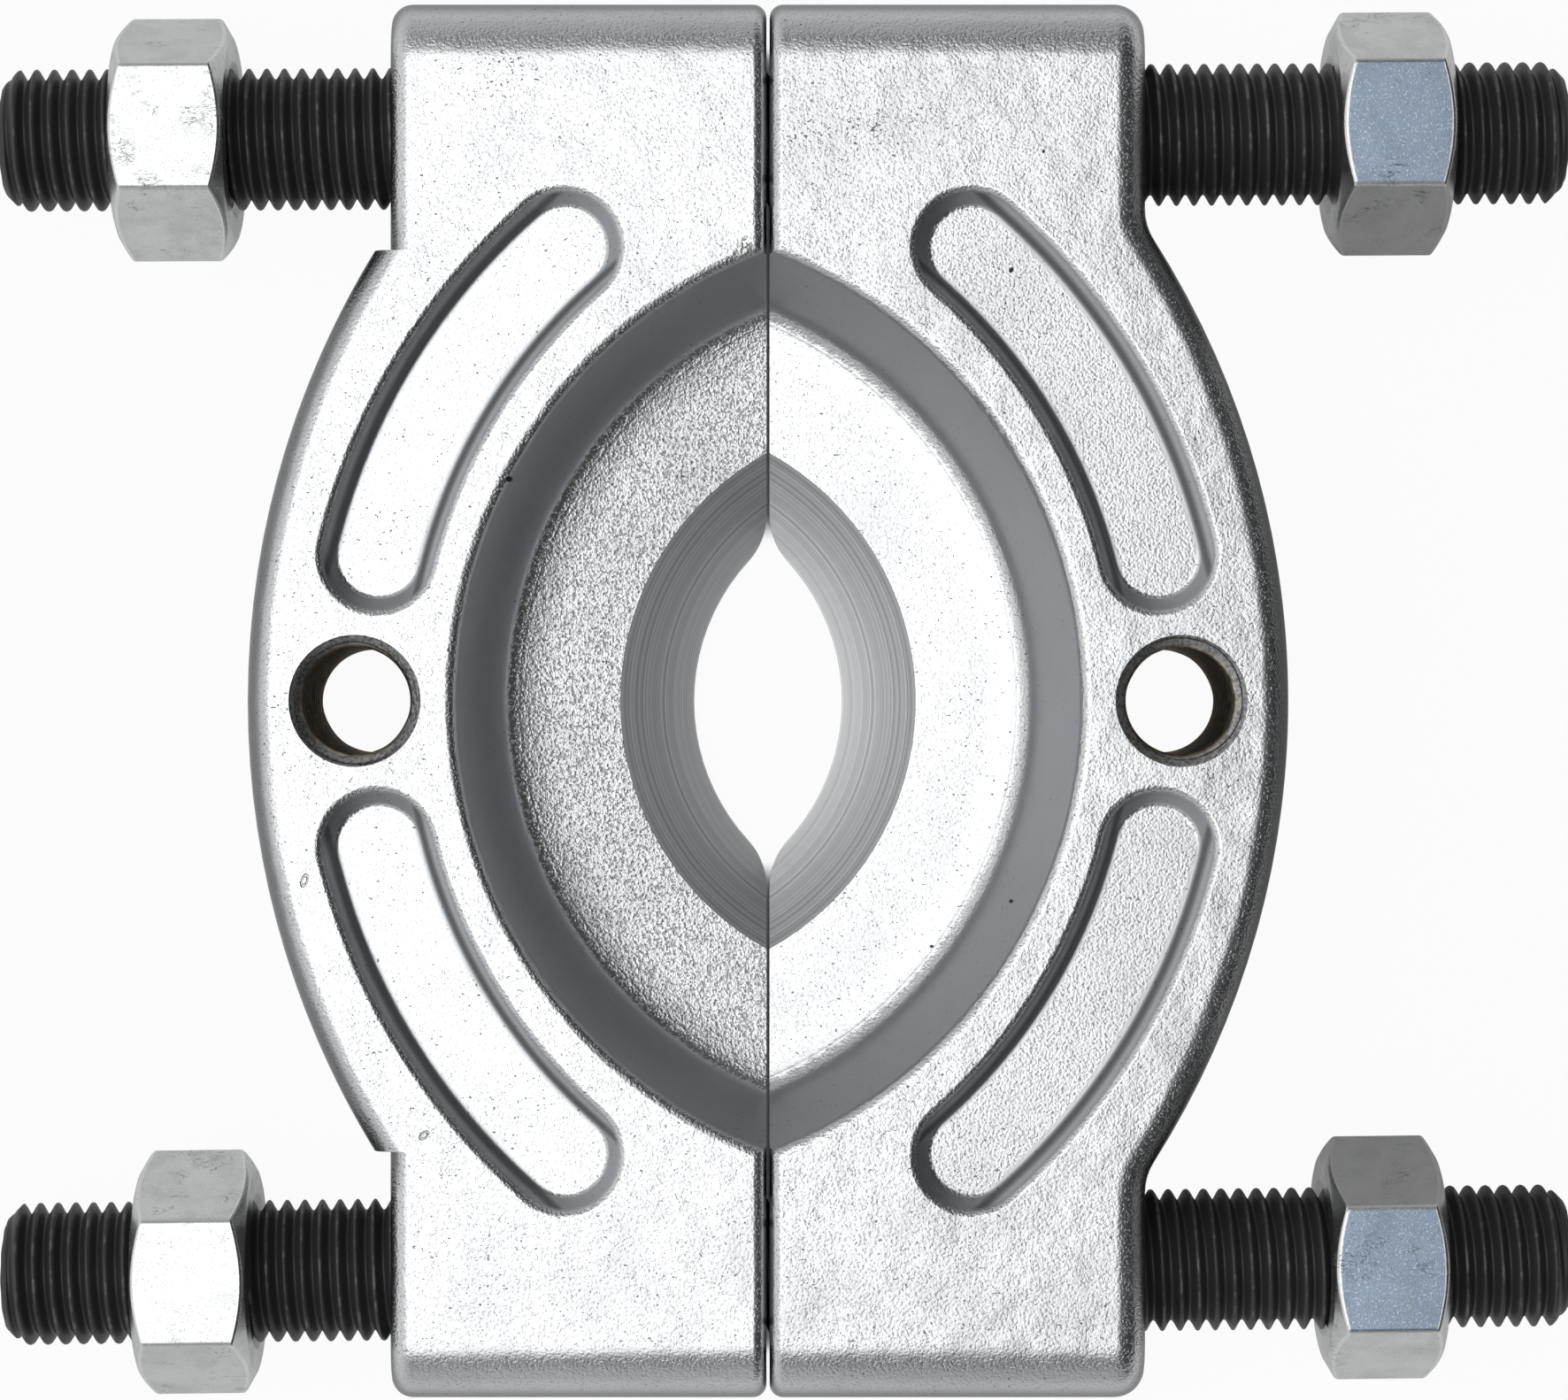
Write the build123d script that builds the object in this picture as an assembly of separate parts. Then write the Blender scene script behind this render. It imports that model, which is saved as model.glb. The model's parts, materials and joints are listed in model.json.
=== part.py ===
from build123d import *
from math import cos, radians, sqrt, tan
import os

# A two-piece bearing separator, lying flat on its underside.
# Millimetres. The split between the jaws is the plane X = 0, the studs run along X,
# Y runs along the split, and Z = 0 is the flat underside. The origin is the middle of the shaft opening.
# Each jaw is modelled on the right of the split, and the left one is then mirrored into place.

# Jaw forging
thickness = 27.0
split_gap = 0.35
bar_half_width = 42.3
bar_half_length = 77.8
end_round_top = 7.0
end_round_bottom = 4.0
edge_round = 3.4
left_bar_edge_round = 2.4
split_edge_round = 1.5
draft_degrees = 2.5

# Bow of each jaw: a round rim that springs from the bar clear of the nuts and reaches out from the split
rim_reach = 58.2
bow_to_stud = 13.55
left_shoulder_step = 1.6
right_shoulder_fillet = 6.0

# Recess that clears the bearing, down to the blade plate
recess_centre_offset = 18.4
recess_top_radius = 53.1
recess_root_radius = 48.2
recess_root_fillet = 2.6
recess_edge_round = 1.5
plate_thickness = 12.0

# Turned cone that thins each blade to its knife edge
knife_centre_offset = 15.4
knife_radius = 24.0
knife_land = 1.2
cone_radius = 32.2
knife_corner_round = 8.0

# Tapped hole in each rim for a puller's screw, M14 x 2 before the thread is drawn
puller_hole_inset = 0.85
puller_hole_radius = 5.92
puller_hole_chamfer = 1.38

# Kidney-shaped pockets in the rims, two in each jaw, on a line just inside the tapped hole's middle
# that bends almost as the recess does
pocket_centre_shift = 3.4
pocket_line_inset = 0.5
pocket_floor_half_width = 4.8
pocket_depth = 2.3
pocket_wall_degrees = 36.0
pocket_first_degrees = 14.0
pocket_last_degrees = 48.5
pocket_root_fillet = 0.8
pocket_edge_round = 1.0

# Studs, M16 x 2, and the plain holes that they pass through
stud_radius = 8.0
stud_length = 176.0
stud_to_bar_end = 13.9
stud_end_chamfer = 1.7
stud_hole_clearance = 1.0
stud_hole_chamfer = 0.6
stud_shift = {"rear": 1.8, "front": 2.05}
# How far each stud lies askew in its holes, about the split
stud_skew_degrees = {"rear": 0.29, "front": 0.7}

# Hexagon nuts
nut_across_flats = 24.0
nut_height = 13.0
nut_face_radius = 11.3
nut_chamfer_degrees = 30.0
nut_bore_clearance = 0.06
nut_countersink = 0.75
# How far the stud shows past each nut, and how far the nut has turned from one flat level
stud_showing = {"rear_left": 12.8, "front_left": 15.05, "rear_right": 13.3, "front_right": 14.35}
nut_turn_degrees = {"rear_left": -0.7, "front_left": -15.3, "rear_right": 6.7, "front_right": -2.6}

# Worked out from the sizes above
mid_height = thickness / 2
split_x = split_gap / 2
stud_y = bar_half_length - stud_to_bar_end
bow_end_y = stud_y - bow_to_stud
bow_rise = rim_reach - bar_half_width - left_shoulder_step
bow_radius = (bow_end_y**2 + bow_rise**2) / (2 * bow_rise)
bow_centre_offset = bow_radius - rim_reach
rim_inner_x = recess_top_radius - recess_centre_offset
puller_hole_x = (rim_inner_x + rim_reach) / 2 - puller_hole_inset
pocket_centre_offset = recess_centre_offset + pocket_centre_shift
pocket_radius = puller_hole_x - pocket_line_inset + pocket_centre_offset
stud_hole_radius = stud_radius + stud_hole_clearance
reach = 2 * (rim_reach + bar_half_length)
past = 1.0
upward = (Align.CENTER, Align.CENTER, Align.MIN)


def arc_y(radius, centre_offset, x):
    """How far along the split a circle, centred beyond it, has run where it stands x away from it."""
    return sqrt(radius**2 - (centre_offset + x) ** 2)


def drafted(plan):
    """A forging's outline, drawn in both ways from the parting line at mid height."""
    upper = extrude(Pos(0, 0, mid_height) * plan, thickness - mid_height, taper=draft_degrees)
    lower = extrude(Pos(0, 0, mid_height) * plan, -mid_height, taper=draft_degrees)
    return upper + lower


def on_a_face(edge):
    """True for an edge that lies in the top or the underside."""
    height = edge.center().Z
    return min(abs(height), abs(height - thickness)) < 0.01


def rounded_ends(blank):
    """Cuts a blank to the bar's length, with the forging's rounded ends."""
    with BuildSketch(Plane.YZ) as end_view:
        with Locations((0, mid_height)):
            Rectangle(2 * bar_half_length, thickness)
        fillet([v for v in end_view.vertices() if v.Y > mid_height], end_round_top)
        fillet([v for v in end_view.vertices() if v.Y < mid_height], end_round_bottom)
    return blank & extrude(end_view.sketch, reach, both=True)


def right_of_split(blank):
    """Cuts a blank off square at the split."""
    return blank & Pos(reach / 2 + split_x, 0, 0) * Box(reach, reach, reach)


def side_rounded(blank, radius):
    """Rounds the edges round the outside of a blank, which the bar's ends follow."""
    outer = [e for e in blank.edges() if on_a_face(e) and e.center().X > bar_half_width / 2]
    return fillet(outer, radius)


def bow_rounded(blank):
    """Rounds a bow's curved edges alone, and leaves its shoulders square."""
    return fillet([e for e in blank.edges().filter_by(GeomType.CIRCLE) if on_a_face(e)], edge_round)


def split_rounded(blank):
    """Rounds the edges all round the flat face at the split."""
    return fillet([e for e in blank.edges() if abs(e.center().X - split_x) < 0.01], split_edge_round)


def bar_plan():
    return Rectangle(2 * bar_half_width, 2 * (bar_half_length + end_round_top))


def bow_plan(start_x, half_length):
    window = Pos(start_x + reach / 2, 0) * Rectangle(reach, 2 * half_length)
    return Pos(-bow_centre_offset, 0) * Circle(bow_radius) & window


def right_blank():
    """Bar and bow in one outline, with a smooth hollow where they meet."""
    meet_y = arc_y(bow_radius, bow_centre_offset, bar_half_width)
    plan = bar_plan() + bow_plan(0, bar_half_length)
    hollows = [v for v in plan.vertices() if v.X > 0 and abs(abs(v.Y) - meet_y) < 0.01]
    blank = rounded_ends(drafted(fillet(hollows, right_shoulder_fillet)))
    return split_rounded(side_rounded(right_of_split(blank), edge_round))


def left_blank():
    """Bar and bow rounded apart and then joined, so that the bow ends in small square shoulders."""
    bar = right_of_split(rounded_ends(drafted(bar_plan())))
    bar = split_rounded(side_rounded(bar, left_bar_edge_round))
    return bar + bow_rounded(drafted(bow_plan(bar_half_width / 4, bow_end_y)))


def turned(profile, centre_offset):
    """A solid of revolution about an upright axis beyond the split, from a profile of radius and height."""
    return Pos(-centre_offset, 0, 0) * revolve(Plane.XZ * profile, Axis.Z)


def recess():
    """The space that clears the bearing: sloping wall, rounded rim edge and filleted root."""
    above = thickness + past
    lip = recess_top_radius + 3 * recess_edge_round
    profile = Polygon(
        (0, plate_thickness),
        (recess_root_radius, plate_thickness),
        (recess_top_radius, thickness),
        (lip, thickness),
        (lip, above),
        (0, above),
        align=None,
    )
    root = profile.vertices().sort_by_distance((recess_root_radius, plate_thickness))[0]
    profile = fillet(root, recess_root_fillet)
    rim_edge = profile.vertices().sort_by_distance((recess_top_radius, thickness))[0]
    return turned(fillet(rim_edge, recess_edge_round), recess_centre_offset)


def knife_cone():
    """The turned opening: a short straight land at the knife edge, then a cone up to the plate."""
    profile = Polygon(
        (0, -past),
        (knife_radius, -past),
        (knife_radius, knife_land),
        (cone_radius, plate_thickness),
        (cone_radius, plate_thickness + past),
        (0, plate_thickness + past),
        align=None,
    )
    return turned(profile, knife_centre_offset)


def knife_corner():
    """What is ground off where the knife edge meets the split, as a round tangent to both."""
    centre_x = split_x + knife_corner_round
    centre_y = arc_y(knife_radius + knife_corner_round, knife_centre_offset, centre_x)
    start_y = centre_y * knife_radius / (knife_radius + knife_corner_round)
    corner = Pos(split_x - past, start_y) * Rectangle(
        knife_corner_round + past, centre_y - start_y, align=Align.MIN
    )
    corner -= Pos(centre_x, centre_y) * Circle(knife_corner_round)
    return extrude(Pos(0, 0, -past) * corner, plate_thickness + 2 * past)


def puller_hole():
    """The tapped hole for a puller's screw, countersunk on both faces."""
    mouth = puller_hole_radius + puller_hole_chamfer
    cone = Cone(mouth, puller_hole_radius, puller_hole_chamfer, align=upward)
    hole = Cylinder(puller_hole_radius, thickness + 2 * past, align=upward)
    cutter = Pos(0, 0, -past) * hole + cone + Pos(0, 0, thickness) * Rot(180, 0, 0) * cone
    return Pos(puller_hole_x, 0, 0) * cutter


def pocket():
    """A shallow curved pocket with sloping walls and rounded ends."""
    line = CenterArc((-pocket_centre_offset, 0), pocket_radius, pocket_first_degrees,
                     pocket_last_degrees - pocket_first_degrees)
    floor = Pos(0, 0, thickness - pocket_depth) * make_face(line.offset_2d(pocket_floor_half_width))
    space = extrude(floor, pocket_depth, taper=-pocket_wall_degrees)
    return fillet(space.faces().sort_by(Axis.Z)[0].edges(), pocket_root_fillet)


def stud_hole():
    """The plain hole for a stud, along X at mid height, eased at its outer mouth."""
    length = bar_half_width + 2 * past
    hole = Cylinder(stud_hole_radius, length, align=upward)
    wide = stud_hole_radius + stud_hole_chamfer + past
    cone = Cone(stud_hole_radius, wide, wide - stud_hole_radius, align=upward)
    mouth = Pos(0, 0, past + bar_half_width - stud_hole_chamfer) * cone
    return Pos(-past, stud_y, mid_height) * Rot(0, 90, 0) * (hole + mouth)


def both_ends(cutter):
    """A cutter and its mirror image across the middle of the jaw."""
    return [cutter, mirror(cutter, about=Plane.XZ)]


def machined(blank):
    """Cuts everything that both jaws have into a blank, and rounds the edges that it leaves."""
    jaw = blank - recess() - knife_cone() - puller_hole()
    for cutter in both_ends(knife_corner()) + both_ends(pocket()) + both_ends(stud_hole()):
        jaw -= cutter
    mouths = [e for e in jaw.edges().filter_by(GeomType.CIRCLE) if is_pocket_mouth(e)]
    return fillet(mouths, pocket_edge_round)


def is_pocket_mouth(edge):
    """True for an arc in the top face that lies on a pocket's outline."""
    middle = edge @ 0.5
    from_line = abs(sqrt((middle.X + pocket_centre_offset) ** 2 + middle.Y**2) - pocket_radius)
    half_width = pocket_floor_half_width + pocket_depth * tan(radians(pocket_wall_degrees))
    beside = middle.Y**2 > (puller_hole_radius + puller_hole_chamfer) ** 2
    return abs(middle.Z - thickness) < 0.01 and from_line < half_width + 0.01 and beside


def stud():
    """A fully threaded stud along X, drawn at its outside diameter, with chamfered ends."""
    rod = Rot(0, 90, 0) * Cylinder(stud_radius, stud_length)
    return chamfer(rod.edges().filter_by(GeomType.CIRCLE), stud_end_chamfer)


def nut():
    """A hexagon nut along X with one flat level on top, chamfered on both faces."""
    corner_radius = nut_across_flats / 2 / cos(radians(30))
    hexagon = extrude(RegularPolygon(corner_radius, 6, rotation=30), nut_height / 2, both=True)
    slope = (corner_radius + past - nut_face_radius) * tan(radians(nut_chamfer_degrees))
    profile = Polygon(
        (0, -nut_height / 2),
        (nut_face_radius, -nut_height / 2),
        (corner_radius + past, -nut_height / 2 + slope),
        (corner_radius + past, nut_height / 2 - slope),
        (nut_face_radius, nut_height / 2),
        (0, nut_height / 2),
        align=None,
    )
    bore = Cylinder(stud_radius + nut_bore_clearance, nut_height)
    body = (hexagon & revolve(Plane.XZ * profile, Axis.Z)) - bore
    bore_limit = stud_radius + 2 * nut_bore_clearance
    mouths = [e for e in body.edges().filter_by(GeomType.CIRCLE) if e.radius < bore_limit]
    return Rot(0, 90, 0) * chamfer(mouths, nut_countersink)


def save(shape, name):
    export_step(shape, f"parts/{name}.step")


os.makedirs("parts", exist_ok=True)

save(machined(right_blank()), "jaw_right")
save(mirror(machined(left_blank()), about=Plane.YZ), "jaw_left")

for row, row_y in {"rear": stud_y, "front": -stud_y}.items():
    in_holes = Pos(0, row_y, mid_height) * Rot(0, 0, stud_skew_degrees[row])
    save(in_holes * Pos(stud_shift[row], 0, 0) * stud(), f"stud_{row}")
    for side, sign in {"left": -1, "right": 1}.items():
        name = f"{row}_{side}"
        middle_x = stud_shift[row] + sign * (stud_length / 2 - stud_showing[name] - nut_height / 2)
        turn = Rot(nut_turn_degrees[name], 0, 0)
        save(in_holes * Pos(middle_x, 0, 0) * turn * nut(), f"nut_{name}")
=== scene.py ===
"""Dresses a bearing separator: forged and plated jaws, threaded studs, zinc nuts, floor, light and camera.

Lengths are in metres, in the part's own frame: the split between the jaws is the plane X = 0, the studs run
along X, and the flat underside lies at Z = 0.
"""
import json
import math
from collections import defaultdict
from types import SimpleNamespace

import bmesh
import bpy
from bpy.props import FloatProperty, FloatVectorProperty, IntProperty, PointerProperty
from mathutils import Euler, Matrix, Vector


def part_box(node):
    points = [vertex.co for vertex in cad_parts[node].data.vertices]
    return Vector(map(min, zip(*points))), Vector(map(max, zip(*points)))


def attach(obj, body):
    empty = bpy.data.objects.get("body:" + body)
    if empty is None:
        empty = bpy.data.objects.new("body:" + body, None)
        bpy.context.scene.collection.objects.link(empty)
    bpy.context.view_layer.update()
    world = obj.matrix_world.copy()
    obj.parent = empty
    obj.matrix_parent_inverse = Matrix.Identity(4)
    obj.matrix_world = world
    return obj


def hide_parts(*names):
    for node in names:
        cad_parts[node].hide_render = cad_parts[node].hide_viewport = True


bl_info = {
    "name": "Bearing Separator",
    "version": (1, 0, 0),
    "blender": (4, 5, 0),
    "location": "3D View > Sidebar > Separator",
    "description": "Finishes the jaws, studs and nuts of a bearing separator and lights them",
    "category": "Object",
}

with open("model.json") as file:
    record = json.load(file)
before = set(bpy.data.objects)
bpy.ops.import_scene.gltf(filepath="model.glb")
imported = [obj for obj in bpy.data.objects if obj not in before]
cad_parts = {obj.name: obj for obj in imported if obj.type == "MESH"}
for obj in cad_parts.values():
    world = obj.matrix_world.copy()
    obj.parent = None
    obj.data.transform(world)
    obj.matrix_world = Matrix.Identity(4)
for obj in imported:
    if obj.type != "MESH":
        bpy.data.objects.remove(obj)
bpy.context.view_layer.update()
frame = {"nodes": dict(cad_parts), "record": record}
mounts = {mount["name"]: mount for mount in frame["record"]["mounts"]}
joints = {joint["name"]: joint for joint in frame["record"]["behaviour"]["joints"]}

SIDES = {"left": -1, "right": 1}
ROWS = ("rear", "front")

# Where the jaws' finish changes, in the forging's own sizes
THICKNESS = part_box("jaw_right")[1].z
SPLIT_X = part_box("jaw_right")[0].x
RECESS_CENTRE_OFFSET = 0.0184
RECESS_ROOT_RADIUS = 0.0482
RECESS_TOP_RADIUS = 0.0531
PLATE_THICKNESS = 0.012
PLATE_TILT = math.radians(1.6)
KNIFE_CENTRE_OFFSET = 0.0154
KNIFE_RADIUS = 0.024
CONE_RADIUS = 0.0322
POCKET_CENTRE_OFFSET = 0.0218
POCKET_LINE_INSET = 0.0005
POCKET_HALF_WIDTH = 0.0048
POCKET_DEPTH = 0.0023
BOW_EDGE_FROM_LINE = 0.0085
BOW_EDGE_FROM_RECESS = RECESS_TOP_RADIUS + 0.006
BOW_HALF_LENGTH = 0.056
PULLER_HOLE_X = mounts["puller_hole_right"]["pos_m"][0]
PULLER_HOLE_RADIUS = mounts["puller_hole_right"]["dims"]["r_mm"] / 1000
PULLER_MOUTH_RADIUS = 0.0073
MOUTH_DEPTH = PULLER_MOUTH_RADIUS - PULLER_HOLE_RADIUS
HOLE_COLUMNS = 96
FORGING_CREASE = math.radians(30)

# The studs and the nuts
STUD_RADIUS = (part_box("stud_rear")[1].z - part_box("stud_rear")[0].z) / 2
STUD_LENGTH = 0.176
NUT_ACROSS_FLATS = 0.024
NUT_HEIGHT = 0.013
NUT_CLEARANCE = 0.00006
NUT_STATIONS = 10
NUT_COLUMNS = 192
NUT_CREASE = math.radians(40)

# Fixed sizes and colours of the finishes
LEAST_GRAIN = 0.15
SWELL_SIZE = 0.0055
CLOUD_SIZE = 0.014
RING_HEIGHT = 0.00004
# The rubbed edge in the bores, near white as a painted highlight as well as wear
RUBBED_BORE_AND_HIGHLIGHT = (1.0, 0.93, 0.78)
MOUTH_GREYS = ((0.62, 0.62, 0.62), (0.30, 0.30, 0.30))
DUST = (0.08, 0.077, 0.072)

# The overhead panel's edges: where each starts and where it is full, in degrees from upright
PANEL_RIGHT = (11, 4)
PANEL_LEFT = (-70, -12)
PANEL_ENDS = (44, 9)
DARKEST_ROOM = 0.04
END_LIGHT_RISE = (0.74, 0.99)

# The floor starts to look white at one openness and is white at the next, so that narrow gaps stay dark, and
# beyond the right jaw the metal mirrors a painted shadow: a black patch on the floor that only reflections
# see
FLOOR_REACH = 3.0
GAP_WIDTH = 0.002
GAP_OPENNESS = (0.15, 0.45)
MIRRORED_SHADOW_X = (0.035, 0.065)
MIRRORED_SHADOW_Y = (0.065, 0.045)
CAMERA_Y = -0.0003

# Small marks in the forgings' skin: middle, half length, half width and turn of each
FLAWS = {
    "left": [((-0.0286, 0.0245), 0.0004, 0.0003, 0)],
    "right": [
        ((0.02696, 0.04773), 0.0003, 0.00022, 60),
        ((0.0186, -0.0279), 0.0002, 0.00015, 0),
        ((0.0272, -0.0224), 0.00025, 0.00018, 30),
        ((0.0304, 0.0606), 0.0002, 0.00015, 90),
    ],
}
DENTS = {
    "left": [((-0.0511, -0.0198), 0.0006, 0.0003, 70), ((-0.0379, -0.0479), 0.0005, 0.0003, 40)],
    "right": [],
}
STAINS = {"left": [((-0.0026, 0.0500), 0.0015, 0.0009, 50)], "right": []}
PITTED = {
    "left": [((-0.0300, 0.0690), 0.0050, 0.0030, 0)],
    "right": [((0.0104, 0.0629), 0.0035, 0.0022, 10), ((0.0040, 0.0625), 0.0022, 0.0018, 0)],
}


class Nodes:
    """Adds nodes to a tree. Each input is a plain value or another node's output."""

    def __init__(self, tree):
        self.tree = tree

    def set(self, socket, value):
        if isinstance(value, bpy.types.NodeSocket):
            self.tree.links.new(value, socket)
        else:
            socket.default_value = value

    def add(self, kind, values=None, **settings):
        node = self.tree.nodes.new(kind)
        for name, setting in settings.items():
            setattr(node, name, setting)
        for key, value in (values or {}).items():
            self.set(node.inputs[key], value)
        return node

    def math(self, operation, *values):
        return self.add("ShaderNodeMath", dict(enumerate(values)), operation=operation).outputs[0]

    def minus(self, first, second):
        return self.math("SUBTRACT", first, second)

    def ratio(self, first, second):
        return self.math("DIVIDE", first, second)

    def larger(self, first, second):
        return self.math("MAXIMUM", first, second)

    def smaller(self, first, second):
        return self.math("MINIMUM", first, second)

    def apart(self, first, second):
        """How far apart two numbers are."""
        return self.math("ABSOLUTE", self.minus(first, second))

    def vector_math(self, operation, *vectors):
        """A vector operation's outputs: first its vector, and under Value its number."""
        return self.add("ShaderNodeVectorMath", dict(enumerate(vectors)), operation=operation).outputs

    def parts(self, vector):
        return self.add("ShaderNodeSeparateXYZ", {0: vector}).outputs

    def vector(self, x, y, z):
        return self.add("ShaderNodeCombineXYZ", {"X": x, "Y": y, "Z": z}).outputs[0]

    def step(self, value, low, high):
        """0 at low and 1 at high, with a smooth rise or fall between them."""
        rise = {"Value": value, "From Min": low, "From Max": high}
        return self.add("ShaderNodeMapRange", rise, interpolation_type="SMOOTHSTEP").outputs[0]

    def product(self, first, *others):
        for other in others:
            first = self.math("MULTIPLY", first, other)
        return first

    def total(self, first, *others):
        for other in others:
            first = self.math("ADD", first, other)
        return first


class Finish(Nodes):
    """A material on Object coordinates, with the patterns that the metal finishes share."""

    def __init__(self, name, **shader):
        self.material = bpy.data.materials.new(name)
        self.material.use_nodes = True
        super().__init__(self.material.node_tree)
        self.shader = self.tree.nodes["Principled BSDF"]
        for key, value in shader.items():
            self.set(self.shader.inputs[key.replace("_", " ")], value)
        coordinates = self.add("ShaderNodeTexCoord")
        self.place = coordinates.outputs["Object"]
        self.x, self.y, self.z = self.parts(self.place)
        self.facing = self.parts(coordinates.outputs["Normal"])

    def grains(self, size, stretch=(1, 1, 1), **noise):
        """Cloudy noise from 0 to 1 whose blots are about size across."""
        spread = self.add("ShaderNodeMapping", {"Vector": self.place, "Scale": stretch}).outputs[0]
        return self.noise(spread, 1 / size, **noise)

    def noise(self, vector, scale, detail=2.0, roughness=0.5, distortion=0.0):
        values = {"Vector": vector, "Scale": scale, "Detail": detail, "Roughness": roughness,
                  "Distortion": distortion}
        return self.add("ShaderNodeTexNoise", values).outputs[0]

    def from_axis(self, centre_x):
        """How far a point is from an upright axis on the middle line."""
        across = self.vector(self.minus(self.x, centre_x), self.y, 0.0)
        return self.vector_math("LENGTH", across)["Value"]

    def reach(self, middle, half_length, half_width, degrees):
        """How far a point is from the middle of a small oval, with its outline at 1."""
        turn = math.radians(degrees)
        along = Vector((math.cos(turn), math.sin(turn), 0)) / half_length
        across = Vector((-math.sin(turn), math.cos(turn), 0)) / half_width
        offset = self.vector_math("SUBTRACT", self.place, (*middle, 0))[0]
        parts = [self.vector_math("DOT_PRODUCT", offset, axis)["Value"] for axis in (along, across)]
        return self.vector_math("LENGTH", self.vector(*parts, 0.0))["Value"]

    def spots(self, places, outer=1.15, inner=0.7):
        """1 inside small ovals and 0 outside them."""
        marks = 0.0
        for place in places:
            marks = self.larger(marks, self.step(self.reach(*place), outer, inner))
        return marks

    def mixed(self, factor, first, second):
        mix = self.add("ShaderNodeMix", data_type="RGBA")
        for socket, value in zip((mix.inputs[0], mix.inputs[6], mix.inputs[7]), (factor, first, second)):
            self.set(socket, (*value, 1.0) if isinstance(value, (tuple, list)) else value)
        return mix.outputs[2]

    def coat(self, colour, roughness=None):
        """Gives the shader its colour and, where it varies, its roughness."""
        self.set(self.shader.inputs["Base Color"], colour)
        if roughness is not None:
            self.set(self.shader.inputs["Roughness"], roughness)

    def relief(self, height, depth):
        """Raises the surface by height times depth."""
        bump = self.add("ShaderNodeBump", {"Height": height, "Distance": depth})
        self.set(self.shader.inputs["Normal"], bump.outputs[0])


class PlatingSettings(bpy.types.PropertyGroup):
    """The jaws' plated forging."""

    colour: FloatVectorProperty(
        name="Plating", description="Colour of the bright plating", subtype="COLOR",
        size=3, min=0, max=1, default=(0.87, 0.88, 0.895))
    worn_colour: FloatVectorProperty(
        name="Worn plating", description="Colour where the plating is thin or rough", subtype="COLOR",
        size=3, min=0, max=1, default=(0.52, 0.53, 0.54))
    # Partly the walls' smoother plating, partly painted shade: the recess and pocket walls are coloured
    # darker than the tops
    wall_colour: FloatVectorProperty(
        name="Wall plating", description="Colour of the smooth blue-grey walls", subtype="COLOR",
        size=3, min=0, max=1, default=(0.60, 0.62, 0.64))
    cone_colour: FloatVectorProperty(
        name="Turned steel", description="Colour of the turned cones", subtype="COLOR",
        size=3, min=0, max=1, default=(0.97, 0.98, 0.99))
    # Painted shade: the left jaw's cones are coloured darker than the right jaw's
    cone_shade: FloatVectorProperty(
        name="Cone shade", description="How bright the left and the right jaw's cones are",
        size=2, min=0, max=1, default=(0.84, 1.0))
    knife_wear: FloatVectorProperty(
        name="Knife wear", description="How fast the left and the right cone flatten towards the knife edges",
        size=2, min=0, max=60, default=(0.0, 42.0))
    bore_colour: FloatVectorProperty(
        name="Bare bore", description="Colour of the unplated tapped holes", subtype="COLOR",
        size=3, min=0, max=1, default=(0.34, 0.28, 0.215))
    # Painted shade: the steep outside flanks and the bow's outer edges take the plating colour darkened by
    # this factor
    side_shade: FloatProperty(
        name="Side shade", description="How bright the plating is down the jaws' outside",
        min=0, max=1, default=0.37)
    # Also the colour of the painted shade line along the root of each pocket's wall
    flaw_colour: FloatVectorProperty(
        name="Flaws", description="Colour of pits and dents", subtype="COLOR",
        size=3, min=0, max=1, default=(0.05, 0.045, 0.04))
    stain_colour: FloatVectorProperty(
        name="Stains", description="Colour of the brown stains", subtype="COLOR",
        size=3, min=0, max=1, default=(0.36, 0.30, 0.20))
    grain_size: FloatProperty(
        name="Grain size", description="Width of one grain of the forged skin", unit="LENGTH",
        min=0.0001, max=0.005, default=0.0005)
    grain_height: FloatProperty(
        name="Grain height", description="Height of the forged skin's grain", unit="LENGTH",
        min=0, max=0.001, default=0.00016)
    left_grain: FloatVectorProperty(
        name="Left grain", description="Strength of the left jaw's grain on its top, plate and pocket floors",
        size=3, min=0, max=3, default=(0.20, 0.7, 0.12))
    right_grain: FloatVectorProperty(
        name="Right grain", description="Strength of the right jaw's grain on the same parts",
        size=3, min=0, max=3, default=(0.25, 0.12, 0.28))
    edge_grain: FloatProperty(
        name="Edge grain", description="Strength of the grain over the rounded edges",
        min=0, max=3, default=0.4)
    root_rise: FloatProperty(
        name="Root rise", description="How fast the plates curve up towards the recess's wall",
        min=0, max=50, default=22.0)
    swell: FloatProperty(
        name="Swell", description="Height of the slow waves in the forged skin, in heights of its grain",
        min=0, max=5, default=1.0)


class ThreadSettings(bpy.types.PropertyGroup):
    """The screw threads and the studs' black finish."""

    pitch: FloatProperty(
        name="Pitch", description="Pitch of the coarse threads", unit="LENGTH",
        min=0.0005, max=0.006, default=0.002)
    depth: FloatProperty(
        name="Depth", description="Depth of the studs' thread", unit="LENGTH",
        min=0, max=0.003, default=0.00123)
    end_chamfer: FloatProperty(
        name="End chamfer", description="How far a stud's end narrows", unit="LENGTH",
        min=0, max=0.004, default=0.0017)
    rows: IntProperty(
        name="Rows", description="Rows of faces along one pitch", min=6, max=24, default=12)
    columns: IntProperty(
        name="Columns", description="Faces round the thread", min=16, max=128, default=60)
    black: FloatVectorProperty(
        name="Black oxide", description="Colour of the studs", subtype="COLOR",
        size=3, min=0, max=1, default=(0.062, 0.059, 0.063))
    # Rubbed crests: partly bare metal, partly a painted highlight along them
    rubbed: FloatVectorProperty(
        name="Rubbed crests", description="Colour of the bare metal along the crests", subtype="COLOR",
        size=3, min=0, max=1, default=(0.34, 0.31, 0.27))


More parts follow.
